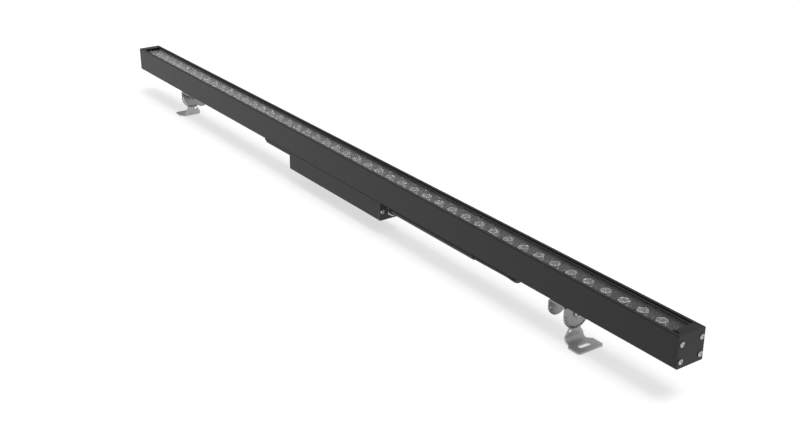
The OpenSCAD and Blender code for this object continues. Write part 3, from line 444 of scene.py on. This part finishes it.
row_tree, row_in, row_out = growing_tree("row_of_pieces", [
    ("Piece", "NodeSocketObject"),
    ("Count", "NodeSocketInt"),
    ("Start", "NodeSocketVector"),
    ("Step", "NodeSocketVector"),
    ("Material", "NodeSocketMaterial"),
])
line = row_tree.nodes.new("GeometryNodeMeshLine")
link_nodes(row_tree, [
    (row_in.outputs["Count"], line.inputs["Count"]),
    (row_in.outputs["Start"], line.inputs["Start Location"]),
    (row_in.outputs["Step"], line.inputs["Offset"]),
])
give_out_copies(row_tree, row_in, row_out, line.outputs["Mesh"])


def grown(name, tree, **values):
    """A plain mesh object made by a Geometry Nodes tree from these named inputs."""
    holder = bpy.data.objects.new(name + "_source", bpy.data.meshes.new(name + "_source"))
    bpy.context.scene.collection.objects.link(holder)
    step = holder.modifiers.new("nodes", "NODES")
    step.node_group = tree
    for item in tree.interface.items_tree:
        key = item.name.replace(" ", "_").lower()
        if item.item_type == "SOCKET" and item.in_out == "INPUT" and key in values:
            step[item.identifier] = values[key]
    bpy.context.view_layer.update()
    result = holder.evaluated_get(bpy.context.evaluated_depsgraph_get())
    mesh = bpy.data.meshes.new_from_object(result)
    finish = mesh.materials[-1]
    mesh.materials.clear()
    mesh.materials.append(finish)
    for face in mesh.polygons:
        face.material_index = 0
    piece = bpy.data.objects.new(name, mesh)
    bpy.context.scene.collection.objects.link(piece)
    bpy.data.objects.remove(holder)
    return piece


def joined(name, objects):
    """One mesh object out of several, each with its own finish."""
    shape = bmesh.new()
    finishes = []
    for o in objects:
        before = len(shape.faces)
        shape.from_mesh(o.data)
        finish = o.data.materials[0]
        if finish not in finishes:
            finishes.append(finish)
        shape.faces.ensure_lookup_table()
        for face in shape.faces[before:]:
            face.material_index = finishes.index(finish)
    mesh = bpy.data.meshes.new(name)
    shape.to_mesh(mesh)
    shape.free()
    for finish in finishes:
        mesh.materials.append(finish)
    piece = bpy.data.objects.new(name, mesh)
    bpy.context.scene.collection.objects.link(piece)
    for o in objects:
        bpy.data.objects.remove(o)
    return piece


leg_foot_radius = 1.8 * mm
leg_top_radius = 1.62 * mm
leg_foot = 65.6 * mm
leg_top = lens_plate_bottom + 0.3 * mm
leg_sides = 20
legs_per_strip = 3
lenses_per_leg = 5
leg_profile = [(0, leg_foot), (leg_foot_radius, leg_foot), (leg_top_radius, leg_top), (0, leg_top)]
leg_shape = bpy.data.objects.new("strip_leg", turned_mesh("strip_leg", leg_profile, leg_sides))
plate_middle = (lens_plate_bottom + lens_plate_top) / 2
plate_thickness = lens_plate_top - lens_plate_bottom
for strip in range(board_count):
    first_x = lens_first + strip * lenses_per_strip * lens_pitch
    low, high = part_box(f"lens_strip_{strip + 1}")
    lenses = grown(
        f"lenses_{strip + 1}", row_tree, piece=lens_shape, count=lenses_per_strip,
        start=(first_x, 0, 0), step=(lens_pitch, 0, 0), material=acrylic_lens,
    )
    legs = grown(
        f"strip_legs_{strip + 1}", row_tree, piece=leg_shape, count=legs_per_strip,
        start=(first_x + lens_pitch / 2, 0, 0), step=(lenses_per_leg * lens_pitch, 0, 0),
        material=acrylic_plate,
    )
    plate = bmesh.new()
    xs = [low.x]
    for k in range(lenses_per_strip):
        middle = first_x + k * lens_pitch
        xs += [middle - lens_radius * lens_room, middle + lens_radius * lens_room]
    xs.append(high.x)
    for a, b in zip(xs[0::2], xs[1::2]):
        for v in bmesh.ops.create_cube(plate, size=1)["verts"]:
            v.co = Vector((
                (a + b) / 2 + v.co.x * (b - a),
                v.co.y * 2 * lens_plate_half,
                plate_middle + v.co.z * plate_thickness,
            ))
    plate_mesh = bpy.data.meshes.new("plate")
    plate.to_mesh(plate_mesh)
    plate.free()
    plate_object = bpy.data.objects.new("plate", plate_mesh)
    plate_mesh.materials.append(acrylic_plate)
    strip_piece = joined(f"lens_strip_{strip + 1}_moulding", [lenses, legs, plate_object])
    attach(strip_piece, "bar")
    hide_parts(f"lens_strip_{strip + 1}")

# Board wiring
# Two wires with red insulation. They leave the driver, go up through a rubber grommet and run
# along under the web, with a riser to each board.
red_wire = finish_with_grain(
    "red_wire_insulation", (0.5, 0.03, 0.02), 0.1, 0.5 * mm, 0.01 * mm, (0.35, 0.45)
)
coat_nodes(red_wire, "board_wiring")
coat_nodes(black_rubber, "wire_grommet")

# Driver box
# A second, lower extrusion with a flange, closed by two screwed end plates on gaskets, hung in the
# bar's T-slot by three screws. The potted driver lies inside.
coat_nodes(dark_coat, "driver_box", "driver_box_end_left")
# The right end plate, the one in view, gets a blacker coat than the left one: painted shade for the shade
# under the bar.
shaded_box_end_coat = finish_with_grain(
    "black_end_coat", (0.006, 0.006, 0.006), 0.12, 0.9 * mm, 0.05 * mm, (0.38, 0.5)
)
coat_nodes(shaded_box_end_coat, "driver_box_end_right")
coat_nodes(black_rubber, "driver_box_gasket_left", "driver_box_gasket_right")
coat_nodes(screw_steel, "driver_box_screws_left", "driver_box_screws_right")
coat_nodes(screw_steel, "box_fixing_screws", "box_slot_nuts")
module_case = finish_with_grain(
    "driver_case", (0.55, 0.56, 0.57), 0.1, 0.6 * mm, 0.02 * mm, (0.4, 0.5)
)
coat_nodes(module_case, "driver_module")

# Glands, lead sleeve and grommet
# Nickel plated brass cable glands with black rubber seals, and lock nuts inside the box. The
# output lead's black sleeve lies along the underside of the bar, before a rubber grommet.
nickel = finish_with_grain(
    "nickel_plate", (0.66, 0.65, 0.62), 0.04, 0.4 * mm, 0.001 * mm, (0.28, 0.38), metal=1.0
)
coat_nodes(nickel, "output_gland_body", "inlet_gland_body", "gland_lock_nuts")
coat_nodes(black_rubber, "output_gland_seal", "inlet_gland_seal", "lead_grommet")
black_nylon = finish_with_grain(
    "black_nylon", (0.014, 0.014, 0.014), 0.1, 0.3 * mm, 0.01 * mm, (0.4, 0.5)
)
black_jacket = finish_with_grain(
    "black_cable_jacket", (0.016, 0.016, 0.017), 0.15, 0.7 * mm, 0.02 * mm, (0.42, 0.55)
)
coat_nodes(black_jacket, "lead_sleeve")

# Ribbed caps of the glands
# A moulded nylon cap screws on each gland and squeezes the seal round its cable. Fine ribs round
# the cap give a grip.
cap_ribs = 24
cap_rib_radius = 0.34 * mm
cap_rib_sides = 8
cap_rib_share = 0.8
cap_outer = 5.9 * mm
cap_length = 4 * mm
cap_sides = 48
ring_tree, ring_in, ring_out = growing_tree("ring_of_pieces", [
    ("Piece", "NodeSocketObject"),
    ("Count", "NodeSocketInt"),
    ("Radius", "NodeSocketFloat"),
    ("Material", "NodeSocketMaterial"),
])
circle = ring_tree.nodes.new("GeometryNodeMeshCircle")
link_nodes(ring_tree, [
    (ring_in.outputs["Count"], circle.inputs["Vertices"]),
    (ring_in.outputs["Radius"], circle.inputs["Radius"]),
])
give_out_copies(ring_tree, ring_in, ring_out, circle.outputs["Mesh"])
# Both profiles are in shares of the radius and of the length
rib_profile = [(0, 0), (1, 0), (1, 0.9), (0.6, 1), (0, 1)]
cap_profile = [(1, 0), (1, 0.7), (0.93, 0.88), (0.78, 1)]
rib_points = [(r * cap_rib_radius, z * cap_length * cap_rib_share) for r, z in rib_profile]
cap_points = [(r * cap_outer, z * cap_length) for r, z in cap_profile]
cap_rib = bpy.data.objects.new("cap_rib", turned_mesh("cap_rib", rib_points, cap_rib_sides))
for side, cable_radius, turn, place in (
    ("output", 2.35 * mm, 90, (118 * mm, 0, 32.4 * mm)),
    ("inlet", 3.35 * mm, -90, (-110 * mm, 0, 30.15 * mm)),
):
    shell_points = [(cable_radius, 0), *cap_points, (cable_radius, cap_length)]
    shell_mesh = turned_mesh(f"{side}_cap_shell", shell_points, cap_sides)
    shell_mesh.materials.append(black_nylon)
    shell = bpy.data.objects.new(f"{side}_cap_shell", shell_mesh)
    ribs = grown(
        f"{side}_cap_ribs", ring_tree, piece=cap_rib, count=cap_ribs, radius=cap_outer,
        material=black_nylon,
    )
    cap = joined(f"{side}_ribbed_cap", [shell, ribs])
    cap.data.transform(Matrix.Translation(place) @ Matrix.Rotation(math.radians(turn), 4, "Y"))
    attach(cap, "bar")
    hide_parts(f"{side}_gland_cap")

# Output lead
# A round black two core cable from the output gland, along the underside of the bar inside its
# sleeve, and up through the grommet, as one smooth tube.
bar_underside = 44.5 * mm
lead_radius = 2.3 * mm
lead_exit = 122 * mm
lead_rise = 372.5 * mm
lead_run_y = -14.2 * mm
lead_run_z = -3.3 * mm
lead_sides = 20
lead_step = 1.5 * mm
# The places along the lead are from part.scad, with heights from the bar's underside
start_places = (75.2, 98, 110)
start_height = -12.1
run_places = range(144, 313, 14)
bend_points = [
    (0, 0, -12.1), (3.7, -0.5, -11.8), (7, -2.1, -10.9), (9.5, -4.4, -9.4),
    (11, -7.3, -7.7), (12.4, -10, -6), (14.9, -12.3, -4.6), (18.2, -13.8, -3.6),
]
rise_points = [
    (-42.5, -13.9, -3.3), (-28.5, -13.5, -3.4), (-17.5, -12.8, -4), (-11.5, -12.3, -4.9),
    (-6.5, -11.9, -5.4), (-3.9, -11.7, -4.9), (-1.7, -11.6, -3.7), (-0.4, -11.5, -2.2),
    (0, -11.5, -1), (0, -11.5, 1.5), (0, -11.5, 4),
]
route = [(x * mm, 0, start_height * mm) for x in start_places]
route += [(lead_exit + x * mm, y * mm, z * mm) for x, y, z in bend_points]
route += [(x * mm, lead_run_y, lead_run_z) for x in run_places]
route += [(lead_rise + x * mm, y * mm, z * mm) for x, y, z in rise_points]
path_mesh = bpy.data.meshes.new("lead_path")
route_points = [(x, y, z + bar_underside) for x, y, z in route]
route_edges = [(k, k + 1) for k in range(len(route) - 1)]
path_mesh.from_pydata(route_points, route_edges, [])
lead_path = bpy.data.objects.new("lead_path", path_mesh)
tube_tree, tube_in, tube_out = growing_tree("tube_along_path", [
    ("Path", "NodeSocketObject"),
    ("Radius", "NodeSocketFloat"),
    ("Sides", "NodeSocketInt"),
    ("Step", "NodeSocketFloat"),
    ("Material", "NodeSocketMaterial"),
])
source = tube_tree.nodes.new("GeometryNodeObjectInfo")
as_curve = tube_tree.nodes.new("GeometryNodeMeshToCurve")
smooth = tube_tree.nodes.new("GeometryNodeCurveSplineType")
smooth.spline_type = "CATMULL_ROM"
even = tube_tree.nodes.new("GeometryNodeResampleCurve")
even.mode = "LENGTH"
section = tube_tree.nodes.new("GeometryNodeCurvePrimitiveCircle")
skin = tube_tree.nodes.new("GeometryNodeCurveToMesh")
skin.inputs["Fill Caps"].default_value = True
link_nodes(tube_tree, [
    (tube_in.outputs["Path"], source.inputs["Object"]),
    (source.outputs["Geometry"], as_curve.inputs["Mesh"]),
    (as_curve.outputs["Curve"], smooth.inputs["Curve"]),
    (smooth.outputs["Curve"], even.inputs["Curve"]),
    (tube_in.outputs["Step"], even.inputs["Length"]),
    (even.outputs["Curve"], skin.inputs["Curve"]),
    (tube_in.outputs["Sides"], section.inputs["Resolution"]),
    (tube_in.outputs["Radius"], section.inputs["Radius"]),
    (section.outputs["Curve"], skin.inputs["Profile Curve"]),
])
give_out(tube_tree, tube_in, tube_out, skin.outputs["Mesh"])
lead = grown(
    "output_lead_cable", tube_tree, path=lead_path, radius=lead_radius, sides=lead_sides,
    step=lead_step, material=black_jacket,
)
for face in lead.data.polygons:
    face.use_smooth = len(face.vertices) == 4
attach(lead, "bar")
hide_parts("output_lead")

# Brackets and feet
# Folded from 2 mm stainless sheet, brushed along X and the feet more matte than the brackets. The
# brackets' sheet is coloured much darker than the feet's, as painted shade for the shade under the
# bar. The bracket's round ear has a ring of holes, and the foot turns against it on one bolt with a
# washer and a lock nut.
brushed_along_x = (0.12, 1, 1)
# Painted shade: the brackets' copy of the sheet is much darker than the feet's copy below.
shaded_bracket_steel = finish_with_grain(
    "rolled_stainless_sheet", (0.26, 0.26, 0.255), 0.1, 0.3 * mm, 0.003 * mm, (0.2, 0.34),
    metal=1.0, along=brushed_along_x,
)
foot_steel = finish_with_grain(
    "satin_stainless_sheet", (0.56, 0.56, 0.555), 0.1, 0.3 * mm, 0.003 * mm, (0.45, 0.56),
    metal=0.75, along=brushed_along_x,
)
for side in ("left", "right"):
    coat_nodes(shaded_bracket_steel, f"bracket_{side}")
    coat_nodes(foot_steel, f"foot_{side}")
    coat_nodes(
        screw_steel, f"bracket_screw_{side}", f"slot_nut_{side}", f"pivot_bolt_{side}",
        f"pivot_washer_{side}", f"pivot_nut_{side}",
    )

# Sizes of the solids and of the finished looks
low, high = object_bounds()
